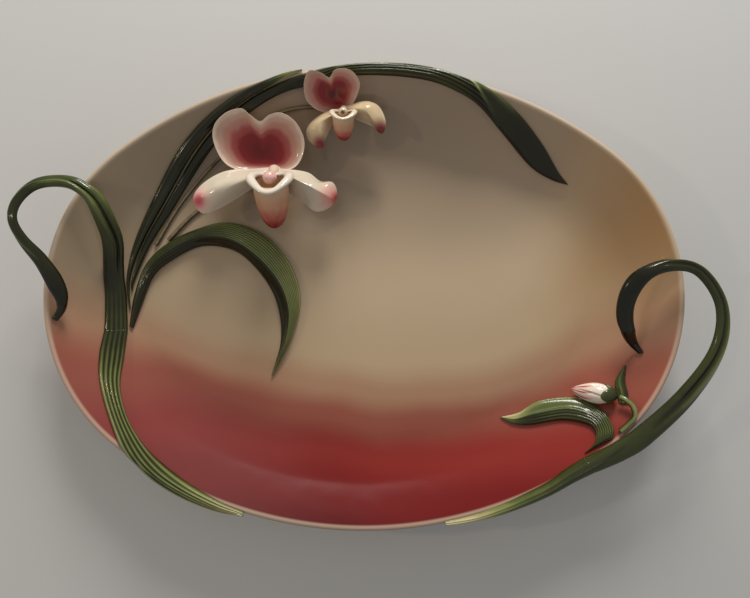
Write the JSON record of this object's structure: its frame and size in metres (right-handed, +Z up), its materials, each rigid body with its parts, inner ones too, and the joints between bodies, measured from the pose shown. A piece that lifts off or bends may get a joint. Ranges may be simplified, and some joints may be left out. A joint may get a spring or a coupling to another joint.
{
  "type": "serving platter",
  "caption": "Deep oval china serving platter on a foot ring, with twisted leaf handles and slipper orchids, leaves and a bud modelled in relief on it.",
  "frame": {"origin": "middle of the oval on the plane that the foot ring rests on", "axes": "+Z up out of the dish, +X along the dish's length towards the handle with the bud, +Y towards the long side that carries the long leaf"},
  "size_m": [0.5087, 0.343, 0.0636],
  "materials": {
    "dish_glaze": "glossy, shaded from ivory to crimson",
    "bare_foot": "fired and left unglazed",
    "leaf_glaze": "glossy, dark olive",
    "stem_glaze": "glossy, pale green",
    "stalk_glaze": "glossy, brown",
    "column_glaze": "glossy, pink",
    "crimson_glaze": "glossy, crimson with a pale edge",
    "petal_glaze": "glossy, cream",
    "pouch_glaze": "glossy, rose shaded to crimson"
  },
  "bodies": {
    "root": {"platter_dish": "dish_glaze", "foot_ring": "bare_foot", "left_stem": "stem_glaze", "left_handle_leaf": "leaf_glaze", "outer_tall_leaf": "leaf_glaze", "rim_leaf": "leaf_glaze", "arching_leaf": "leaf_glaze", "small_orchid_stalk": "stalk_glaze", "big_orchid_stalk": "stalk_glaze", "big_orchid_post": "column_glaze", "big_orchid_hood": "crimson_glaze", "big_orchid_left_petal": "petal_glaze", "big_orchid_right_petal": "petal_glaze", "big_orchid_pouch": "pouch_glaze", "big_orchid_collar": "petal_glaze", "small_orchid_post": "column_glaze", "small_orchid_hood": "crimson_glaze", "small_orchid_left_petal": "petal_glaze", "small_orchid_right_petal": "petal_glaze", "small_orchid_pouch": "pouch_glaze", "small_orchid_collar": "petal_glaze", "right_stem": "stem_glaze", "right_handle_leaf": "leaf_glaze", "right_small_leaf": "leaf_glaze", "bud_stalk": "leaf_glaze", "bud": "petal_glaze", "bud_calyx": "leaf_glaze", "bud_bract": "leaf_glaze"}
  },
  "joints": []
}
